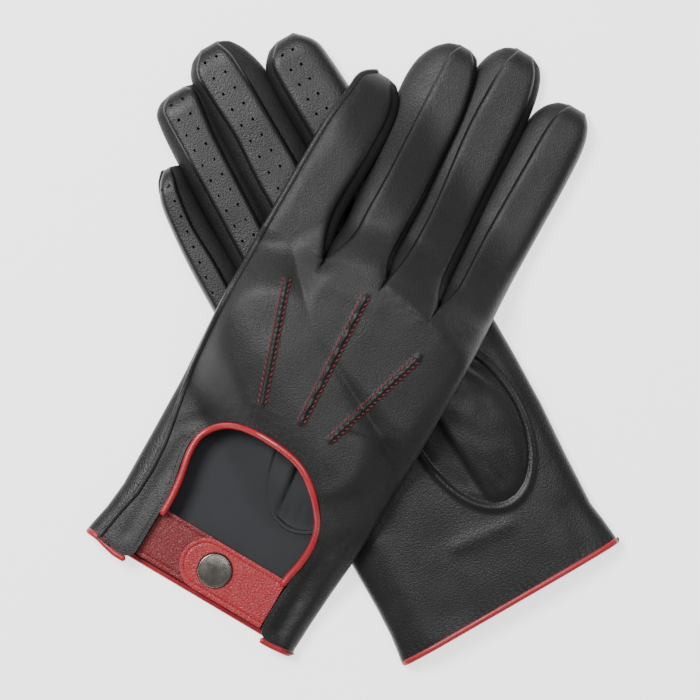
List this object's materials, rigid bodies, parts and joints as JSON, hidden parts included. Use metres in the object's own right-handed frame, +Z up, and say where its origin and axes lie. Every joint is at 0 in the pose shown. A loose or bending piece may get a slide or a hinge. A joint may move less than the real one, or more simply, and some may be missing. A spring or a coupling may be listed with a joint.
{
  "type": "pair of driving gloves",
  "caption": "Pair of unlined leather driving gloves laid crossed, with keyhole backs, snap straps, piped edges and perforated fingers.",
  "frame": {"origin": "centre of the crossed pair's outline, on the surface that it lies on", "axes": "+Y from the cuffs towards the fingertips, +X to the right with the fingers pointing up, +Z up from the surface; the left glove lies on top, back up, and the right glove beneath it, palm up"},
  "size_m": [0.1902, 0.2266, 0.0297],
  "materials": {
    "black_leather": "soft sheepskin nappa with fine grain",
    "red_leather": "pebbled grain, low sheen",
    "dark_red_leather": "pebbled grain, low sheen",
    "red_piping": "smooth rolled leather, satin",
    "elastic_tape": "woven elastic",
    "spring_wire": "drawn wire",
    "gunmetal": "dark nickel plate"
  },
  "bodies": {
    "right_glove": {"right_back": "black_leather", "right_palm": "black_leather", "right_thumb": "black_leather", "right_fourchette_little_ring": "black_leather", "right_fourchette_ring_middle": "black_leather", "right_fourchette_middle_index": "black_leather", "right_keyhole_piping": "red_piping", "right_hem_binding": "red_piping", "right_wrist_elastic": "elastic_tape"},
    "right_snap_tab": {"right_snap_tab": "red_leather", "right_snap_tab_lining": "red_leather", "right_snap_cap": "gunmetal", "right_snap_socket": "gunmetal", "right_socket_spring": "spring_wire"},
    "right_stud_tab": {"right_stud_tab": "dark_red_leather", "right_stud_tab_lining": "dark_red_leather", "right_snap_stud": "gunmetal", "right_stud_eyelet": "gunmetal"},
    "left_glove": {"left_back": "black_leather", "left_palm": "black_leather", "left_thumb": "black_leather", "left_fourchette_little_ring": "black_leather", "left_fourchette_ring_middle": "black_leather", "left_fourchette_middle_index": "black_leather", "left_keyhole_piping": "red_piping", "left_hem_binding": "red_piping", "left_wrist_elastic": "elastic_tape"},
    "left_snap_tab": {"left_snap_tab": "red_leather", "left_snap_tab_lining": "red_leather", "left_snap_cap": "gunmetal", "left_snap_socket": "gunmetal", "left_socket_spring": "spring_wire"},
    "left_stud_tab": {"left_stud_tab": "dark_red_leather", "left_stud_tab_lining": "dark_red_leather", "left_snap_stud": "gunmetal", "left_stud_eyelet": "gunmetal"}
  },
  "joints": [
    {"name": "left_glove_lift", "type": "slide", "parent": "right_glove", "child": "left_glove", "axis": [0, 0, 1], "range_m": [0, 0.1]},
    {"name": "right_snap_tab_fold", "type": "hinge", "parent": "right_glove", "child": "right_snap_tab", "pos_m": [0.07419, -0.06633, 0.0011], "axis": [0.5, -0.866, 0], "range_deg": [0, 140]},
    {"name": "right_stud_tab_fold", "type": "hinge", "parent": "right_glove", "child": "right_stud_tab", "pos_m": [0.02985, -0.09193, 0.00325], "axis": [-0.5, 0.866, 0], "range_deg": [0, 36]},
    {"name": "left_snap_tab_fold", "type": "hinge", "parent": "left_glove", "child": "left_snap_tab", "pos_m": [-0.02878, -0.09049, 0.0096], "axis": [0.5105, 0.8599, 0], "range_deg": [0, 140]},
    {"name": "left_stud_tab_fold", "type": "hinge", "parent": "left_glove", "child": "left_stud_tab", "pos_m": [-0.0728, -0.06435, 0.00745], "axis": [-0.5105, -0.8599, 0], "range_deg": [0, 36]}
  ],
  "couplings": [
    {"joint": "right_stud_tab_fold", "follows": "right_snap_tab_fold", "ratio": 0.25},
    {"joint": "left_stud_tab_fold", "follows": "left_snap_tab_fold", "ratio": 0.25}
  ]
}
